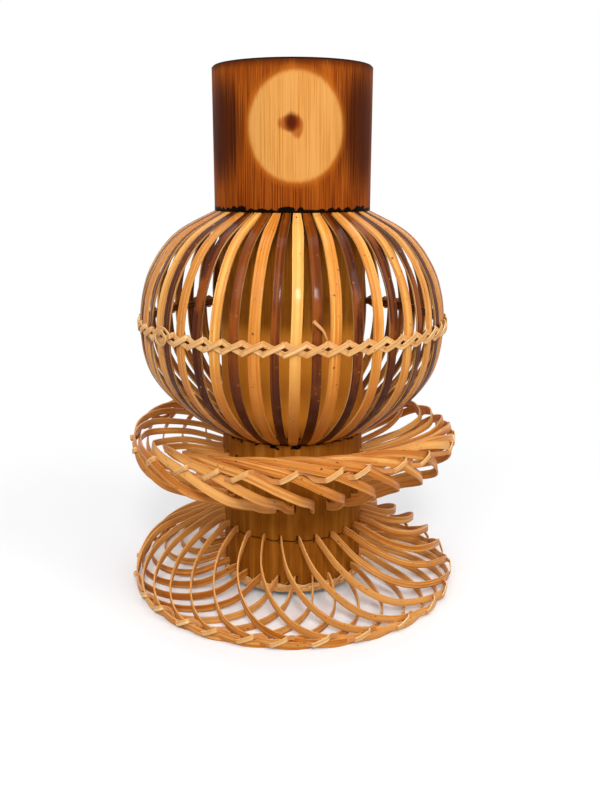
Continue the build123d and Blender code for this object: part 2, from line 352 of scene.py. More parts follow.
class Bundle:
    """Several ribbons gathered into one mesh."""

    def __init__(self):
        self.points = []
        self.faces = []
        self.maps = []
        self.tones = []
        self.shades = []

    def ribbon(self, centres, faces_out, widths, thickness, tone, shade=0.0):
        """Add one ribbon: its middle line, the way its face looks, and its size all along."""
        centres = np.asarray(centres, float)
        count, ring = len(centres), len(SECTION)
        run = np.gradient(centres, axis=0)
        run /= np.linalg.norm(run, axis=1)[:, None]
        out = np.asarray(faces_out, float)
        out = out - run * np.sum(out * run, axis=1)[:, None]
        out /= np.linalg.norm(out, axis=1)[:, None]
        side = np.cross(run, out)
        steps = np.linalg.norm(np.diff(centres, axis=0), axis=1)
        way = np.concatenate([[0], np.cumsum(steps)]) + tone
        wide = np.broadcast_to(np.asarray(widths, float), (count,))
        thick = np.broadcast_to(np.asarray(thickness, float), (count,))
        shades = np.broadcast_to(np.asarray(shade, float), (count,))
        start = len(self.points)
        for index in range(count):
            for lift, spread in SECTION:
                point = centres[index] + out[index] * lift * thick[index]
                self.points.append(tuple(point + side[index] * spread * wide[index]))
                self.tones.append(tone)
                self.shades.append(shades[index])
        for index in range(count - 1):
            near, far = way[index], way[index + 1]
            for corner in range(ring):
                here = start + index * ring + corner
                beside = start + index * ring + (corner + 1) % ring
                self.faces.append((here, beside, beside + ring, here + ring))
                low, high = corner / ring, (corner + 1) / ring
                self.maps.append(((near, low), (near, high), (far, high), (far, low)))
        last = start + (count - 1) * ring
        for end in (reversed(range(start, start + ring)), range(last, last + ring)):
            self.faces.append(tuple(end))
            self.maps.append(((way[0], 0.5),) * ring)

    def piece(self, name, finish, slot, *nodes):
        """Turn the gathered ribbons into one object that stands for CAD nodes."""
        mesh = bpy.data.meshes.new(name)
        mesh.from_pydata(self.points, [], self.faces)
        grain = mesh.uv_layers.new(name="grain")
        numbers = [number for face in self.maps for pair in face for number in pair]
        grain.data.foreach_set("uv", numbers)
        for label, values in (("tone", self.tones), ("shade", self.shades)):
            carried = mesh.attributes.new(label, "FLOAT", "POINT")
            carried.data.foreach_set("value", values)
        mesh.polygons.foreach_set("use_smooth", [True] * len(mesh.polygons))
        mesh.set_sharp_from_angle(angle=CUT_CORNER)
        mesh.materials.append(finish)
        mesh.validate()
        body = bpy.data.objects.new(name, mesh)
        bpy.context.scene.collection.objects.link(body)
        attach(body, "root")
        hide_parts(*nodes)


print("a ribbon's section has", len(SECTION), "corners")

# %% [markdown]
# ## Lines and tables
#
# A route is written as a few stations, and a smooth run is drawn through them, as a springy
# strip would take. What changes along a strip or round the vase is written as a small table
# of places and values. Hand work is uneven, so small amounts are drawn by chance, from one
# seed, and the vase is the same each time.

# %% Line helpers


def smooth(rows, steps):
    """A smooth run through rows of numbers, with this many steps between two rows."""
    rows = np.asarray(rows, float)
    ends = np.vstack([2 * rows[0] - rows[1], rows, 2 * rows[-1] - rows[-2]])
    path = []
    for index in range(1, len(ends) - 2):
        before, here, after, later = ends[index - 1:index + 3]
        for step in range(steps):
            t = step / steps
            path.append(0.5 * (
                2 * here + (after - before) * t
                + (2 * before - 5 * here + 4 * after - later) * t**2
                + (3 * here - before - 3 * after + later) * t**3
            ))
    path.append(rows[-1])
    return np.array(path)


def round_the_tube(radius, angle, height):
    """Points from radii, angles and heights."""
    return np.stack([radius * np.cos(angle), radius * np.sin(angle), height], axis=1)


def outward(line):
    """The way out from the tube's axis, at each point of a line."""
    return line * np.array([1, 1, 0])


def read(table, places):
    """What a table of places and values says at any places."""
    return np.interp(places, *zip(*table))


def bearing(angle):
    """Degrees from the front, positive towards the right-hand side."""
    return (np.degrees(angle - front) + 180) % 360 - 180


chance = np.random.default_rng(7)
print("the front bears", round(bearing(front), 1), "and the right side", round(bearing(0.0), 1))

# %% [markdown]
# ## The ribs of the globe
#
# Fifty-two bowed ribs spring from the tube under its neck and come back above the middle
# cage: golden ones and lacquered red-brown ones by turns. The outline has full shoulders and
# draws in to a narrow foot. Each rib is one ribbon along it, narrowed at both ends where the
# ribs crowd. Hand-split ribs differ in width and lie a little askew, and so do these. The
# whole globe is also twisted by a few degrees towards the neck.

# %% Sizes of the ribs
# Reach from tube to belt, and rise from the lower end to the upper one.
GLOBE_OUTLINE = (
    (-0.03, -0.008), (0.0, 0.0), (0.25, 0.048), (0.50, 0.115), (0.74, 0.20), (0.90, 0.29),
    (0.975, 0.375), (1.0, 0.46), (1.0, 0.545), (0.965, 0.63), (0.875, 0.73), (0.69, 0.838),
    (0.45, 0.918), (0.04, 0.994), (-0.01, 1.004),
)
# Share of the rib's length from its foot, with the twist in degrees, or the share of the gap.
RIB_TWIST = ((0.0, 0.8), (0.5, 1.0), (0.8, 2.0), (1.0, 3.6))
RIB_GAP = ((0.0, 0.45), (0.5, 0.6), (1.0, 1.0))
globe_reach = globe_radius - core_radius
globe_rise = globe_top - globe_foot
rib_thickness = 0.95 * MM
rib_gap = 0.85 * MM
rib_wander = 0.25 * MM
rib_askew = 0.42 * MM
rib_lean = radians(4.5)
print("a rib is", round(rib_thickness / MM, 2), "mm thick and reaches", round(globe_reach / MM, 1))

# %% Bend the ribs


def rib_line(wander):
    """The middle line of one rib in its own plane: reach and height."""
    rows = []
    for reach, rise in GLOBE_OUTLINE:
        rows.append((core_radius + globe_reach * reach, globe_foot + globe_rise * rise))
    line = smooth(rows, steps=5)
    line[:, 0] += wander * np.sin(np.linspace(0, pi, len(line)))
    return line


def add_rib(bundle, angle, width):
    """Bend one rib round the globe at an angle."""
    line = rib_line(chance.normal(0, rib_wander))
    share = np.linspace(0, 1, len(line))
    bow = np.sin(share * pi)
    sideways = chance.normal(0, rib_askew) * bow
    sideways = sideways + chance.normal(0, rib_wander) * np.sin(share * tau)
    turn = angle + sideways / line[:, 0] + np.radians(read(RIB_TWIST, share))
    centres = round_the_tube(line[:, 0], turn, line[:, 1])
    run = np.gradient(line, axis=0)
    run /= np.linalg.norm(run, axis=1)[:, None]
    out = np.stack([np.cos(turn), np.sin(turn), np.zeros(len(turn))], axis=1)
    aside = np.stack([-np.sin(turn), np.cos(turn), np.zeros(len(turn))], axis=1)
    lean = np.sin(chance.normal(0, rib_lean) * bow)
    face = out * run[:, 1][:, None] - np.array([0, 0, 1.0]) * run[:, 0][:, None]
    face = face + aside * lean[:, None]
    room = 2 * pi * line[:, 0] / rib_count - rib_gap * read(RIB_GAP, share)
    widths = np.minimum(width * (1 + 0.03 * np.sin(share * 11 + angle * 5)), room)
    bundle.ribbon(centres, face, widths, rib_thickness, chance.random())


for pair in range(pair_count):
    for kind, first, width, spread, finish, slot in (
        ("light", 0.0, 3.95 * MM, 0.20 * MM, light_finish, "light_bamboo"),
        ("dark", rib_pitch, 3.45 * MM, 0.30 * MM, dark_finish, "dark_bamboo"),
    ):
        bundle = Bundle()
        for opposite in (0.0, pi):
            angle = front + first + pair * cage_pitch + opposite
            add_rib(bundle, angle, width + chance.normal(0, spread))
        number = f"{pair + 1:02d}"
        bundle.piece(f"{kind}_ribs_{number}", finish, slot, f"{kind}_rib_pair_{number}")
print("ribs bent:", rib_count)

# %% [markdown]
# ## The strips of the middle cage
#
# A strip of this cage leaves the tube through a slot, climbs and swings round the rim, drops
# and turns back through a tight hairpin to a second slot. The stations are those of the
# solids, and the smooth run between them is what split bamboo takes by itself. Years of
# standing have warped the rim: it rides high in front and sags at both sides, and a small
# table of heights by bearing says so. A second table says how far the strips have slipped
# along the rim. The strips were split with a taper: narrow where they leave the tube, wide
# from the rim on. On the way up to the rim each leans, and shows more of its face.

# %% Tables of the middle cage
# Reach from tube to rim, turn round the tube, height over the lower slot.
MIDDLE_PATH = (
    (0.05, 0.0, 1.0), (0.42, 0.06, 1.28), (0.76, 0.19, 1.57), (0.90, 0.33, 1.68),
    (0.985, 0.45, 1.62), (1.0, 0.56, 1.45), (0.965, 0.67, 1.11), (0.88, 0.755, 0.82),
    (0.73, 0.81, 0.63), (0.54, 0.85, 0.46), (0.32, 0.88, 0.22), (0.05, 0.92, 0.0),
)
# Bearing in degrees, with a height in millimetres, or a slip in degrees.
RIM_WARP = (
    (-180, -0.5), (-115, -2.2), (-75, -2.5), (-60, -1.4), (-45, -0.2), (-30, 0.8), (-15, 1.7),
    (0, 2.3), (22, 2.8), (38, 2.4), (55, 1.0), (72, -0.9), (115, -2.0), (180, -0.5),
)
RIM_SLIP = (
    (-90, 0.0), (-57, 5.0), (-44, 6.5), (-30, 4.5), (-16, 1.8), (12, 0.0), (26, -4.0),
    (53, -4.4), (67, 2.5), (90, 0.0),
)
# Share of the strip's length, with the share of the lean, or the width in millimetres.
MIDDLE_LEAN = ((0.12, 0.0), (0.30, 1.0), (0.55, 1.0), (0.70, 0.0))
MIDDLE_WIDTH = ((0.0, 2.3), (0.12, 2.35), (0.30, 2.9), (0.42, 3.45), (0.75, 3.4), (1.0, 3.1))
middle_reach = middle_rim_radius - core_radius
middle_foot_slot = 40.4 * MM
middle_drop = 17.2 * MM
middle_turn = radians(84.0)
middle_start = radians(-7.6)
middle_rim_share = 0.56
middle_lean = radians(14)
strip_inset = 1.2 * MM
strip_thickness = 0.68 * MM
print("the middle rim reaches", round(middle_reach / MM, 1), "mm out from the tube")

# %% Helpers for the cages


def rim_warp(angle):
    """How far the middle rim rides above its mean height at an angle."""
    return read(RIM_WARP, bearing(angle)) * MM


def rim_slip(angle):
    """How far round the strips and stitches have slipped along the rim at an angle."""
    return np.radians(read(RIM_SLIP, bearing(angle)))


def into_the_slots(rows):
    """Add a station at each end, inside the tube's slot."""
    ends = []
    for row in (rows[0], rows[-1]):
        tip = Vector(row[:2]).normalized() * (core_radius - strip_inset)
        ends.append((tip.x, tip.y, row[2]))
    return [ends[0], *rows, ends[1]]


def add_strip(bundle, path, widths, lean=0.0):
    """Stand one ribbon on its edge along a path in space, its face tipped up by a lean."""
    run = np.gradient(path, axis=0)
    run[:, 2] = 0
    face = np.stack([run[:, 1], -run[:, 0], run[:, 2]], axis=1)
    face /= np.linalg.norm(face, axis=1)[:, None]
    face[:, 2] = np.tan(lean)
    bundle.ribbon(path, face, widths, strip_thickness, chance.random())


print("in front the middle rim rides", round(rim_warp(front) / MM, 1), "mm above its mean")

# %% Bend the middle strips
strip_wander = 0.35 * MM
strip_slip = radians(0.7)


def middle_path(angle):
    """The route of one middle strip from slot to slot."""
    rows = []
    swell = chance.normal(0, strip_wander)
    slip = chance.normal(0, strip_slip)
    ride = chance.normal(0, strip_wander)
    slip += rim_slip(angle + middle_turn * middle_rim_share)
    for reach, turn, rise in MIDDLE_PATH:
        radius = core_radius + middle_reach * reach + swell * reach
        place = angle + middle_turn * turn + slip * reach**2
        # The warp grows with the way out, and is full before the strip gets to the rim.
        lift = (rim_warp(place) + ride) * min(1.0, 1.3 * reach) ** 2
        height = middle_foot_slot + middle_drop * rise + lift
        rows.append((radius * cos(place), radius * sin(place), height))
    return smooth(into_the_slots(rows), steps=7)


for pair in range(pair_count):
    bundle = Bundle()
    for opposite in (0.0, pi):
        path = middle_path(front + middle_start + pair * cage_pitch + opposite)
        share = np.linspace(0, 1, len(path))
        lean = middle_lean * read(MIDDLE_LEAN, share)
        widths = (read(MIDDLE_WIDTH, share) + 0.06 * np.sin(share * 9 + pair)) * MM
        add_strip(bundle, path, widths, lean)
    number = f"{pair + 1:02d}"
    name, node = f"middle_strips_{number}", f"middle_strip_pair_{number}"
    bundle.piece(name, strip_finish, "golden_strip", node)
print("middle strips bent:", strip_count)

# %% [markdown]
# ## The strips of the base cage
#
# In plan each strip of the base cage is one circle that touches the rim. It falls from its
# upper slot to the rim, lies flat on the table, and climbs back to a lower slot. In front the
# strips have settled and fall early. At the sides and behind they keep a high shoulder. Two
# rows of heights say so, and the bearing decides how much of each is taken.

# %% Sizes of the base cage
# Heights in millimetres, from the upper slot to the lower one.
SETTLED = (26.6, 19.4, 12.0, 6.0, 3.4, 2.6, 1.5, 1.5, 1.5, 2.2, 4.1, 8.8)
SHOULDERED = (26.6, 21.6, 18.0, 15.4, 11.4, 5.6, 1.5, 1.5, 1.5, 2.2, 4.1, 8.8)
# Degrees to either side of the front, with the share of the shoulder.
SHOULDER = ((35, 0.0), (95, 1.0))
falling_stations = 5
resting_height = 1.5 * MM
base_width = 2.9 * MM
base_ride = 0.3
base_half_turn = radians(47.0)
base_start = radians(5.0)
base_slot_reach = 0.95
strip_end = core_radius - strip_inset
half_chord = cos(base_half_turn)
arc_top = base_rim_radius**2 + strip_end**2 - 2 * base_rim_radius * strip_end * half_chord
base_arc = arc_top / (2 * (base_rim_radius - strip_end * half_chord))
base_middle = base_rim_radius - base_arc
arc_cosine = (base_middle**2 + base_arc**2 - strip_end**2) / (2 * base_middle * base_arc)
base_reach = pi - np.arccos(arc_cosine)
print("a base strip is a circle of", round(base_arc / MM, 1), "mm radius")

# %% Bend the base strips


def base_path(angle):
    """The route of one base strip: a circle in plan that touches the rim."""
    rows = []
    ride = chance.normal(0, base_ride)
    for index, (settled, shouldered) in enumerate(zip(SETTLED, SHOULDERED)):
        way = base_reach * base_slot_reach * (2 * index / (len(SETTLED) - 1) - 1)
        x, y = base_middle + base_arc * cos(way), base_arc * sin(way)
        turn = angle + base_half_turn
        high = read(SHOULDER, abs(bearing(turn + atan2(y, x))))
        height = settled + (shouldered - settled) * high
        if 0 < index < falling_stations:
            height += ride
        x, y = x * cos(turn) - y * sin(turn), x * sin(turn) + y * cos(turn)
        rows.append((x, y, height * MM))
    path = smooth(into_the_slots(rows), steps=6)
    path[:, 2] = np.maximum(path[:, 2], resting_height)
    return path


for pair in range(pair_count):
    bundle = Bundle()
    for opposite in (0.0, pi):
        path = base_path(front + base_start + pair * cage_pitch + opposite)
        uneven = 1 + 0.03 * np.sin(np.linspace(0, 9, len(path)) + pair)
        add_strip(bundle, path, base_width * uneven)
    number = f"{pair + 1:02d}"
    bundle.piece(f"base_strips_{number}", strip_finish, "golden_strip", f"base_strip_pair_{number}")
print("base strips bent:", strip_count)

# %% [markdown]
# ## The belt
#
# The belt is laced with two flat cane strips. On every rib one rises in front and the other
# falls behind it. Between two ribs each is folded sharply and they change places, which gives
# the row of crosses. The stations crowd at the folds, so that the smooth run stays straight
# between them. Inside the ribs lies the hoop that the lacing is drawn tight against.

# %% Lacing over the ribs
# Way from rib to rib, share of the swing up, share of the dip between two ribs.
LACING = (
    (-0.50, -1.0, 0.9), (-0.46, -0.95, 0.8), (-0.40, -0.80, 0.4), (-0.20, -0.40, 0.0),
    (0.0, 0.0, 0.0), (0.20, 0.40, 0.0), (0.40, 0.80, 0.4), (0.46, 0.95, 0.8),
)
lashing_width = 2.0 * MM
lashing_swing = 1.90 * MM
lashing_thickness = 0.35 * MM
lashing_start = radians(1.0)
lashing_above, lashing_below = 1.05 * MM, 0.45 * MM
lashing_dip = 0.5 * MM
lashing_knock = 0.12
rib_face = globe_radius + 0.6 * MM


def belt_sag(angle):
    """How far the belt rides above its mean height: it sags in front."""
    return (0.40 - 0.60 * np.cos(np.radians(bearing(angle)))) * MM


def lashing_path(phase):
    """One laced strip: up over one rib, down behind its partner over the next."""
    rows = []
    for rib in range(rib_count):
        rising = (rib + phase) % 2 == 0
        over = rib_face + (lashing_above if rising else lashing_below)
        knock = chance.normal(0, lashing_knock)
        for step, lift, dip in LACING:
            turn = front + lashing_start + (rib + step) * rib_pitch
            swing = (lift if rising else -lift) * lashing_swing
            height = belt_height + swing + knock * MM * (1 - abs(lift))
            rows.append((over - dip * lashing_dip, turn, height + belt_sag(turn)))
    radii, turns, heights = np.array(rows).T
    line = round_the_tube(radii, turns, heights)
    return np.vstack([line, line[:1]])


def add_round(bundle, path, width, thickness, steps, shade=0.0):
    """Lay one ribbon round the tube with its face outward."""
    line = smooth(path, steps)
    if not np.isscalar(shade):
        shade = np.append(np.repeat(shade[:-1], steps), shade[-1])
    bundle.ribbon(line, outward(line), width, thickness, chance.random(), shade)


print("the lacing swings", round(2 * lashing_swing / MM, 1), "mm from fold to fold")

# %% [markdown]
# ## Two loose tails
#
# At the left a tail of the lacing has sprung loose and curls in the air, and in front a short
# one stands up between two ribs. They are what the eye finds first in the belt, so they are
# worth a few lines: the curl is a circle that draws in and lifts off, the short one is a
# smooth run through three stations.

# %% Tails and belt
curl_bearing = radians(-48.5)
curl_rounds = 1.35
curl_stations = 40
curl_above, curl_off = 0.6 * MM, 1.8 * MM
curl_width = 0.9 * MM
tail_thickness = 0.3 * MM
# Millimetres off the ribs, radians to the right of the front, millimetres above the belt.
STUB = ((1.2, 0.19, 3.4), (1.3, 0.165, 6.6), (0.9, 0.115, 9.8))


def add_tails(bundle):
    """Add the curled tail and the short one to the lacing."""
    curl = np.linspace(0, curl_rounds * tau, curl_stations)
    spread = np.linspace(4.6, 2.8, curl_stations) * MM
    turn = front + curl_bearing + np.cos(curl) * spread / globe_radius
    height = belt_height + curl_above + np.sin(curl) * spread * 0.85
    radius = rib_face + curl_off + np.linspace(0, 1.4, curl_stations) * MM
    line = round_the_tube(radius, turn, height)
    bundle.ribbon(line, outward(line), curl_width, tail_thickness, tone=0.2)
    stub = smooth([(rib_face + off * MM, turn, rise) for off, turn, rise in STUB], steps=8)
    line = round_the_tube(stub[:, 0], front + stub[:, 1], belt_height + stub[:, 2] * MM)
    widths = np.linspace(0.4, 1.3, len(line)) * MM
    bundle.ribbon(line, outward(line), widths, tail_thickness, tone=0.1, shade=0.5)


for phase, node in ((0, "belt_lashing_outer"), (1, "belt_lashing_inner")):
    bundle = Bundle()
    add_round(bundle, lashing_path(phase), lashing_width, lashing_thickness, steps=2)
    if phase:
        add_tails(bundle)
    bundle.piece(f"{node}_cane", cane_finish, "pale_cane", node)
print("belt laced over", rib_count, "ribs")

# %% Hoop inside the ribs
ring_stations = 209
hoop_width = 2.7 * MM
hoop_thickness = 1.2 * MM
hoop_seat = 0.75 * MM
hoop_turns = np.linspace(0, tau, ring_stations)
hoop_line = round_the_tube(
    hoop_radius - hoop_seat + 0.2 * MM * np.sin(hoop_turns * 5),
    hoop_turns,
    belt_height + belt_sag(hoop_turns) + 0.3 * MM * np.sin(hoop_turns * 3),
)
bundle = Bundle()
bundle.ribbon(hoop_line, outward(hoop_line), hoop_width, hoop_thickness, tone=0.3)
bundle.piece("belt_hoop_bamboo", hoop_finish, "dark_bamboo", "belt_hoop")
print("hoop laid inside at", round(hoop_radius / MM, 1), "mm")

# %% [markdown]
# ## The weavers of the two rims
#
# One cane strip stitches each rim. It comes up from below a cage strip, crosses it outside in
# a short slanting stitch, dives over its top edge and runs down inside to the next. Lift and
# depth at a few stations of one stitch are written once, and repeated for every strip. The
# inside runs are painted a warm brown: partly the dull inner face of cane, and partly painted
# shade, where they lie behind the strips. The stitches of the base have slipped along the rim,
# and a table by bearing says how far.

# %% Tables of the stitches
# Way from strip to strip, share of the swing up, depth outward in millimetres.
STITCH = (
    (-0.42, -0.78, -1.3), (-0.27, -0.86, -0.6), (-0.19, -0.74, 0.35), (-0.08, -0.30, 0.60),
    (0.04, 0.30, 0.60), (0.13, 0.74, 0.50), (0.19, 0.90, -0.5), (0.30, 0.75, -1.6),
    (0.44, 0.10, -1.8),
)
# Bearing in degrees, with a slip in degrees, or a height in millimetres.
BASE_SLIP = (
    (-95, 0.0), (-65, 3.6), (-52, 1.8), (-38, -1.0), (-24, -2.8), (-10, -5.3), (4, -7.1),
    (17, -8.8), (31, -7.6), (45, -6.1), (59, -5.9), (73, -7.0), (95, 0.0),
)
BASE_WARP = ((35, -0.5), (95, 0.4))
weaver_width = 1.85 * MM
weaver_thickness = 0.42 * MM
weaver_seat = 0.5 * MM
inner_depth = -0.4
inner_shade = 0.7
stitch_slip = radians(0.6)
stitch_spread = 0.10
print("one stitch has", len(STITCH), "stations")

# %% Stitch the rims


def weaver_path(rim, first, height, swing, warp, slip):
    """One weaver round a rim, and where it runs inside."""
    rows = []
    for strip in range(strip_count):
        middle = first + strip * cage_pitch
        middle += slip(middle) + chance.normal(0, stitch_slip)
        bold = swing * (1 + chance.normal(0, stitch_spread))
        for step, lift, depth in STITCH:
            turn = middle + step * cage_pitch
            inside = float(depth < inner_depth)
            rows.append((rim + depth * MM, turn, height + lift * bold + warp(turn), inside))
    radii, turns, heights, inside = np.array(rows).T
    line = round_the_tube(radii, turns, heights)
    return np.vstack([line, line[:1]]), np.append(inside, inside[0])


def base_warp(angle):
    """The base stitches ride higher at the sides and behind."""
    return read(BASE_WARP, np.abs(bearing(angle))) * MM


def base_slip(angle):
    """How far round the base stitches have slipped along the rim at an angle."""
    return np.radians(read(BASE_SLIP, bearing(angle)))


middle_stitch = front + (middle_start + middle_turn * middle_rim_share)
base_stitch = front + (base_start + base_half_turn - cage_pitch / 2)
for rim, radius, first, height, swing, warp, slip in (
    ("middle", middle_rim_radius, middle_stitch, 65.0 * MM, 1.8 * MM, rim_warp, rim_slip),
    ("base", base_rim_radius, base_stitch, 3.9 * MM, 1.6 * MM, base_warp, base_slip),
):
    bundle = Bundle()
    path, inside = weaver_path(radius + weaver_seat, first, height, swing, warp, slip)
    # Inside runs are painted darker: the inner face of cane, and partly painted shade.
    add_round(bundle, path, weaver_width, weaver_thickness, 3, shade=inside * inner_shade)
    bundle.piece(f"{rim}_rim_weaver_cane", cane_finish, "pale_cane", f"{rim}_rim_weaver")
print("stitches on the two rims:", 2 * strip_count)

# %% [markdown]
# ## The binding of the foot
#
# A few turns of thin cane are twined round the tube's foot. Each turn waves in and out of the
# next, and broken fibres stand up from it. Three waving ribbons and a ring of short slanting
# ones show that, where a plain ring would look turned on a lathe.

# %% Foot binding
binding_turns = 3
binding_width, binding_thickness = 1.15 * MM, 0.5 * MM
fibre_count = 46
fibre_foot = 1.6 * MM
fibre_thickness = 0.2 * MM
bundle = Bundle()
turns = np.linspace(0, tau, ring_stations)
for row in range(binding_turns):
    wave = turns * strip_count + row * 2.1
    heights = tube_foot + (0.6 + 1.0 * row) * MM + 0.28 * MM * np.sin(wave)
    radii = core_radius + (0.62 + 0.28 * np.sin(turns * strip_count + row * pi)) * MM
    line = round_the_tube(radii, turns, heights)
    bundle.ribbon(line, outward(line), binding_width, binding_thickness, tone=row / 3)
for fibre in range(fibre_count):
    turn = tau * fibre / fibre_count + chance.normal(0, 0.04)
    rise, slant = (1.6 + 1.5 * chance.random()) * MM, chance.normal(0.03, 0.05)
    share = np.linspace(0, 1, 5)
    radii = core_radius + (0.35 + 0.9 * share * chance.random()) * MM
    line = round_the_tube(radii, turn + slant * share, tube_foot + fibre_foot + rise * share)
    widths = (0.75 - 0.55 * share) * MM
    bundle.ribbon(line, outward(line), widths, fibre_thickness, chance.random())
bundle.piece("foot_binding_cane", cane_finish, "pale_cane", "foot_binding")
print("foot bound with", binding_turns, "turns of cane and", fibre_count, "broken fibres")

# %% [markdown]
# ## The scorched neck
#
# The tube keeps its CAD solid, whose slots and seats are already cut, and its skin is painted
# by place. The neck was scorched with a flame while a round mask covered its front, which left
# a golden disc, and a touch of heat in the disc's middle left a dark spot. Scorching is uneven:
# two dark flanks stand beside the disc and a third behind, and they fade towards the foot of
# the neck. Every patch is an oval, and noise along the grain draws out its edge.

# %% Paints and places on the neck
# Near black: char at the neck's top, the dark line low on the tube, and painted shade where the
# ribs enter the tube.
CHAR_AND_HOLE_SHADE = paint(14, 8, 4)
SCORCH_DEEP = paint(64, 25, 9)
SCORCH = paint(98, 38, 8)
SCORCH_WARM = paint(170, 84, 20)
SCORCH_PALE = paint(188, 100, 30)
HALO = paint(200, 108, 30)
DISC_DEEP = paint(192, 120, 46)
DISC_WARM = paint(216, 152, 78)
DISC_PALE = paint(220, 160, 88)
SPOT_EDGE = paint(160, 74, 18)
SPOT_DEEP = paint(84, 28, 8)
# Ovals: radians to the right of the front, height, half width in radians and half height.
# Heights on the tube are in millimetres.
FLANKS = ((-1.05, 186.0, 0.50, 21.0), (1.02, 186.0, 0.46, 25.0), (2.4, 184.0, 0.8, 30.0))
DISC = (0.045, 186.5, 0.585, 19.3)
WINGS = ((-0.03, 187.8, 0.150, 3.0, 0.85), (0.055, 186.6, 0.075, 4.4, 0.8))
SPOT = (-0.008, 188.2, 0.085, 3.3)
# Heights between which one paint gives way to the next.
LOW_NECK = (150.0, 170.0)
BLACK_EDGE = (209.1, 209.7)
SINGED_EDGE = (211.0, 214.5)
print("the disc is", round(2 * DISC[3], 1), "mm high")

# %% Scorched neck


def oval(tree, turn, height, middle, high, wide, tall):
    """Distance from the middle of an oval on the tube: one on its edge."""
    aside = tree.math("DIVIDE", tree.math("SUBTRACT", turn, middle), wide)
    above = tree.math("DIVIDE", tree.math("SUBTRACT", height, high), tall)
    aside, above = tree.math("MULTIPLY", aside, aside), tree.math("MULTIPLY", above, above)
    return tree.math("ADD", aside, above)


def scorched_neck(tree, turn, height, fine, broad):
    """Scorched wood with dark flanks, the golden disc and its dark spot."""
    colour = tree.mix(tree.ramp(fine, 0.38, 0.62), SCORCH, SCORCH_WARM)
    colour = tree.mix(tree.ramp(broad, 0.46, 0.72, 0.0, 0.7), colour, SCORCH_PALE)
    low = tree.math("SUBTRACT", height, tree.math("MULTIPLY", fine, 6.0))
    colour = tree.mix(tree.ramp(low, *LOW_NECK, 0.30, 0.0), colour, SCORCH)
    ragged = tree.swing(fine, 1.1)
    for flank in FLANKS:
        far = tree.math("ADD", oval(tree, turn, height, *flank), ragged)
        colour = tree.mix(tree.ramp(far, 0.15, 1.35, 0.92, 0.0), colour, SCORCH_DEEP)
    rim = tree.math("ADD", height, tree.math("MULTIPLY", fine, 9.0))
    colour = tree.mix(tree.ramp(rim, *SINGED_EDGE, 0.0, 0.85), colour, SCORCH_DEEP)
    return tree.mix(tree.ramp(height, *BLACK_EDGE), colour, CHAR_AND_HOLE_SHADE)


def golden_disc(tree, turn, height, fine, broad, colour):
    """The disc with its orange halo, and the dark spot with brown wings and a tail."""
    wave = tree.swing(fine, 0.34)
    disc = tree.math("ADD", oval(tree, turn, height, *DISC), wave)
    golden = tree.mix(tree.ramp(fine, 0.34, 0.60), DISC_DEEP, DISC_WARM)
    golden = tree.mix(tree.ramp(broad, 0.35, 0.65, 0.0, 0.6), golden, DISC_PALE)
    colour = tree.mix(tree.ramp(disc, 1.0, 1.30, 0.38, 0.0), colour, HALO)
    colour = tree.mix(tree.ramp(disc, 0.88, 1.08, 1.0, 0.0), colour, golden)
    blur = tree.math("MULTIPLY", wave, 3.2)
    for *place, strength in WINGS:
        wing = tree.math("ADD", oval(tree, turn, height, *place), blur)
        colour = tree.mix(tree.ramp(wing, 0.4, 1.25, strength, 0.0), colour, SPOT_EDGE)
    spot = tree.math("ADD", oval(tree, turn, height, *SPOT), blur)
    return tree.mix(tree.ramp(spot, 0.0, 1.6, 1.0, 0.0), colour, SPOT_DEEP)


print("the neck has", len(FLANKS), "dark flanks and", len(WINGS), "brown wings at its spot")

# %% [markdown]
# ## Pared wood, and the whole tube
#
# Below the neck the skin is pared off down to honey-coloured wood. Right under the neck and
# under the globe's foot it is painted darker, as painted shade, and from the globe's foot to
# the belt it is painted paler and golden, as painted light. A dark line rings the tube at the
# base cage's upper slots. Where the ribs enter the tube the wood is broken, and it is painted
# black there as painted shade in the holes. Inside, the bore is plain and brown. One tree
# paints all of it, by height and by radius.

# %% Pared core
CORE = paint(168, 100, 26)
CORE_PALE = paint(208, 140, 54)
CORE_DEEP = paint(118, 64, 12)
CORE_PAINTED_LIGHT = paint(234, 148, 48)
CORE_PAINTED_SHADE = paint(60, 34, 16)
# Heights of painted shade under the globe's foot and the neck, and of the paler band between.
SHADE_UNDER_GLOBE = (61.0, 69.0)
LIGHT_BAND_START, LIGHT_BAND_END = (70.0, 78.0), (108.0, 116.0)
SHADE_UNDER_NECK = (140.0, 154.0)
SEAM_EDGE = (0.1, 0.45)
seam_height = 26.0


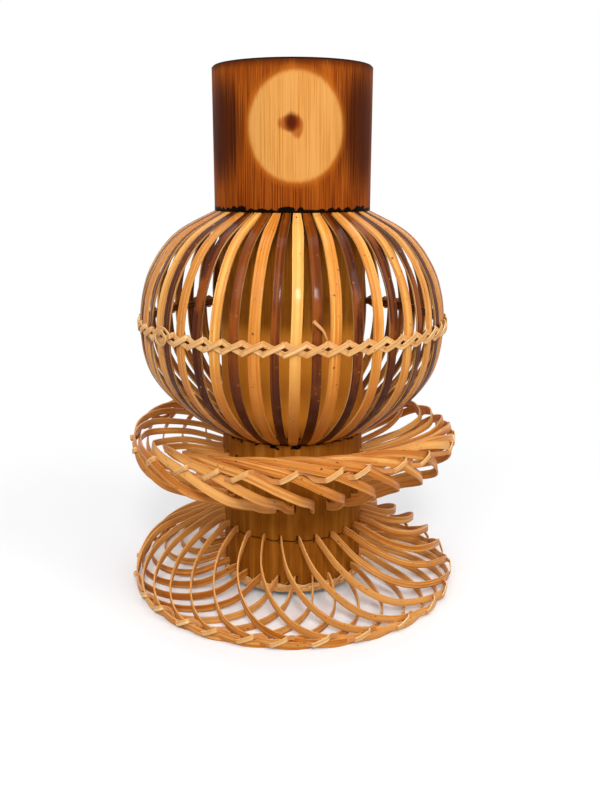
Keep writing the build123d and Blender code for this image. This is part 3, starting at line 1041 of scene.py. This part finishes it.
def pared_core(tree, height, fine, broad, cloud):
    """Pared wood: painted shade under the neck and the globe, painted light low inside it."""
    colour = tree.mix(tree.ramp(fine, 0.15, 0.70), CORE_DEEP, CORE)
    # Darker under the globe's foot: painted shade.
    colour = tree.mix(tree.ramp(height, *SHADE_UNDER_GLOBE, 0.45, 0.0), colour, CORE_DEEP)
    colour = tree.mix(tree.ramp(broad, 0.42, 0.75, 0.0, 0.40), colour, CORE_PALE)
    colour = tree.mix(tree.ramp(cloud, 0.50, 0.72, 0.0, 0.55), colour, CORE_DEEP)
    # Paler from the globe's foot to the belt: painted light.
    rising, falling = tree.ramp(height, *LIGHT_BAND_START), tree.ramp(height, *LIGHT_BAND_END, 1.0, 0.0)
    light_band = tree.math("MULTIPLY", tree.math("MULTIPLY", rising, falling), 0.85)
    colour = tree.mix(light_band, colour, CORE_PAINTED_LIGHT)
    # Darker right under the neck: painted shade.
    colour = tree.mix(tree.ramp(height, *SHADE_UNDER_NECK, 0.0, 0.85), colour, CORE_PAINTED_SHADE)
    wave = tree.swing(broad, 1.6)
    seam = tree.math("ADD", tree.math("SUBTRACT", height, seam_height), wave)
    seam = tree.math("ABSOLUTE", seam)
    return tree.mix(tree.ramp(seam, *SEAM_EDGE, 0.85, 0.0), colour, CHAR_AND_HOLE_SHADE)


print("the dark line lies", seam_height, "mm above the table")

# %% Broken wood, painted black as shade in its holes
# Heights where the wood is painted black as shade in the holes.
LIP_START, LIP_END = (152.0, 154.0), (157.7, 158.1)
FEET_START, FEET_END = (66.2, 66.7), (69.5, 70.5)


def shaded_holes(tree, height, broken):
    """Broken wood at the neck and the rib feet, painted black: painted shade in the holes."""
    lip = tree.math("SUBTRACT", height, tree.swing(broken, 4.0))
    lip = tree.ramp(lip, *LIP_END, 1.0, 0.0)
    lip = tree.math("MULTIPLY", lip, tree.ramp(height, *LIP_START))
    feet = tree.math("ADD", height, tree.swing(broken, 6.0))
    feet = tree.ramp(feet, *FEET_START)
    feet = tree.math("MULTIPLY", feet, tree.ramp(height, *FEET_END, 1.0, 0.0))
    return tree.math("MAXIMUM", lip, feet)


print("black wood near", LIP_END[0], "and", FEET_START[0], "mm")

# %% Whole tube
BORE_DEEP = paint(120, 76, 36)
BORE_PALE = paint(178, 128, 72)
BORE_EDGE = (27.6 * MM, 28.0 * MM)
NECK_FOOT = (157.2, 157.8)
skin_radius = 31.0
skin_relief = 0.10 * MM
skin_shine = 0.015


def tube_skin():
    """The tube's whole finish, by place on the tube."""
    tree = Tree("tube_bamboo_skin")
    place = tree.add("ShaderNodeTexCoord").outputs["Object"]
    x, y, z = tree.apart(place)
    turn = tree.math("ARCTAN2", x, tree.math("MULTIPLY", y, -1.0))
    around = tree.math("MULTIPLY", turn, skin_radius)
    height = tree.math("MULTIPLY", z, 1000.0)

    def grain(per_mm, per_rise, seat, detail):
        """Noise drawn out up and down the tube."""
        aside = tree.math("MULTIPLY", around, per_mm)
        above = tree.math("MULTIPLY", height, per_rise)
        return tree.noise(aside, above, seat, detail)

    fine, broad = grain(2.1, 0.024, 0.0, 4.0), grain(0.34, 0.022, 4.0, 4.0)
    cloud = grain(0.08, 0.06, 9.0, 3.0)
    neck = scorched_neck(tree, turn, height, fine, broad)
    neck = golden_disc(tree, turn, height, fine, broad, neck)
    core = pared_core(tree, height, fine, broad, cloud)
    colour = tree.mix(tree.ramp(height, *NECK_FOOT), core, neck)
    # Black where the ribs enter the tube: painted shade in the holes.
    colour = tree.mix(shaded_holes(tree, height, grain(0.42, 0.42, 15.0, 0.5)), colour, CHAR_AND_HOLE_SHADE)
    speck = grain(3.0, 2.2, 30.0, 1.0)
    colour = tree.mix(tree.ramp(speck, 0.76, 0.80, 0.0, 0.5), colour, CORE_PALE)
    flat = tree.vector("MULTIPLY", place, (1.0, 1.0, 0.0)).outputs[0]
    radius = tree.vector("LENGTH", flat).outputs["Value"]
    bore = tree.mix(tree.ramp(fine, 0.3, 0.7), BORE_DEEP, BORE_PALE)
    within_bore = tree.ramp(radius, *BORE_EDGE, 1.0, 0.0)
    colour = tree.mix(within_bore, colour, bore)
    tree.bump(fine, skin_relief)
    return tree.finish(colour, tree.ramp(broad, 0.3, 0.7, 0.42, 0.58), skin_shine)


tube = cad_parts["bamboo_tube"]
tube.data.materials.clear()
tube.data.materials.append(tube_skin())
print("tube painted by place")

# %% [markdown]
# ## Floor, light and camera
#
# The vase stands on a white sweep under broad, soft light, so that its own shadow is the only
# dark thing round it. What the lamps leave short of white, the floor adds for the eye alone:
# a glow that only camera, glossy and transmission rays see. Farther out the floor fades into
# the white of the backdrop, so that no horizon shows. One small lamp in front gives the
# lacquered ribs their bright spots. The camera stands where the photo was taken from.

# %% Floor finish
WHITE = (1.0, 1.0, 1.0, 1.0)
FLOOR_FOR_LIGHT = (0.50, 0.49, 0.47, 1.0)
FLOOR_FOR_EYE = (0.86, 0.87, 0.885, 1.0)
floor_glow = 0.06
fade_start, fade_end = 0.11, 0.26


def seen_by_eye(nodes, links):
    """One for rays that the eye or a shiny thing sends, and nothing for light that spreads."""
    path = nodes.new("ShaderNodeLightPath")
    total = path.outputs["Is Camera Ray"]
    for kind in ("Is Glossy Ray", "Is Transmission Ray"):
        either = nodes.new("ShaderNodeMath")
        either.operation = "MAXIMUM"
        links.new(total, either.inputs[0])
        links.new(path.outputs[kind], either.inputs[1])
        total = either.outputs[0]
    return total


def white_floor():
    """A white floor that keeps the soft shadow of what stands on it."""
    tree = Tree("white_floor")
    seen = seen_by_eye(tree.nodes, tree.links)
    colour = tree.mix(seen, FLOOR_FOR_LIGHT, FLOOR_FOR_EYE)
    tree.links.new(colour, tree.shader.inputs["Base Color"])
    tree.shader.inputs["Roughness"].default_value = 0.9
    tree.shader.inputs["Specular IOR Level"].default_value = 0.0
    strength = tree.math("MULTIPLY", seen, floor_glow)
    glow = tree.add("ShaderNodeEmission", {"Color": WHITE, "Strength": strength})
    near = tree.add("ShaderNodeAddShader", {0: tree.shader.outputs[0], 1: glow.outputs[0]})
    white = tree.add("ShaderNodeEmission", {"Color": WHITE, "Strength": 1.0})
    away = tree.vector("LENGTH", tree.add("ShaderNodeNewGeometry").outputs["Position"])
    fade = tree.math("MULTIPLY", tree.ramp(away.outputs["Value"], fade_start, fade_end), seen)
    both = tree.add("ShaderNodeMixShader", {0: fade, 1: near.outputs[0], 2: white.outputs[0]})
    tree.links.new(both.outputs[0], tree.output.inputs[0])
    return tree.material


print("the floor fades to white from", fade_start, "to", fade_end, "m")

# %% Floor
floor_reach = 4
corners = [(-1, -1), (1, -1), (1, 1), (-1, 1)]
sweep = bpy.data.meshes.new("floor")
sweep.from_pydata([(x * floor_reach, y * floor_reach, 0) for x, y in corners], [], [(0, 1, 2, 3)])
sweep.materials.append(white_floor())
floor = bpy.data.objects.new("floor", sweep)
bpy.context.scene.collection.objects.link(floor)
print("floor laid,", 2 * floor_reach, "m wide")

# %% Lamps
# Place and size in metres, power in watts.
LAMPS = (
    ("key_lamp", (-0.42, -0.72, 0.82), 0.6, 3.3),
    ("front_lamp", (0.04, -0.85, 0.68), 0.20, 5.0),
    ("right_lamp", (0.75, -0.45, 0.70), 0.5, 3.4),
    ("top_lamp", (0.0, 0.35, 1.1), 0.9, 4.0),
)
middle_of_vase = Vector((0.0, 0.0, 0.10))
for name, place, size, power in LAMPS:
    lamp = bpy.data.lights.new(name, "AREA")
    lamp.size = size
    lamp.energy = power
    body = bpy.data.objects.new(name, lamp)
    body.location = place
    body.rotation_euler = (middle_of_vase - Vector(place)).to_track_quat("-Z", "Y").to_euler()
    bpy.context.scene.collection.objects.link(body)
print("lamps hung:", len(LAMPS))

# %% White world
world_light = 0.42
world_white = 1.0
world = bpy.data.worlds.new("studio")
bpy.context.scene.world = world
world.use_nodes = True
nodes, links = world.node_tree.nodes, world.node_tree.links
backdrop = nodes["Background"]
backdrop.inputs["Color"].default_value = WHITE
level = nodes.new("ShaderNodeMapRange")
level.inputs["To Min"].default_value = world_light
level.inputs["To Max"].default_value = world_white
links.new(seen_by_eye(nodes, links), level.inputs["Value"])
links.new(level.outputs["Result"], backdrop.inputs["Strength"])
bpy.context.scene.view_settings.view_transform = "Standard"
print("world white to the eye, and", world_light, "bright to the vase")

# %% Camera
camera_distance = 0.3482
camera_height = 0.1695
camera_dip = radians(14.78)
camera_data = bpy.data.cameras.new("camera")
camera_data.sensor_width = 36.0
camera_data.lens = 38.17
camera_data.shift_x = 0.0095
camera_data.clip_start = 0.01
camera = bpy.data.objects.new("camera", camera_data)
camera.location = (0.0, -camera_distance, camera_height)
camera.rotation_euler = (pi / 2 - camera_dip, 0.0, 0.0)
bpy.context.scene.collection.objects.link(camera)
bpy.context.scene.camera = camera
print("camera looks down", round(degrees(camera_dip), 1), "degrees")
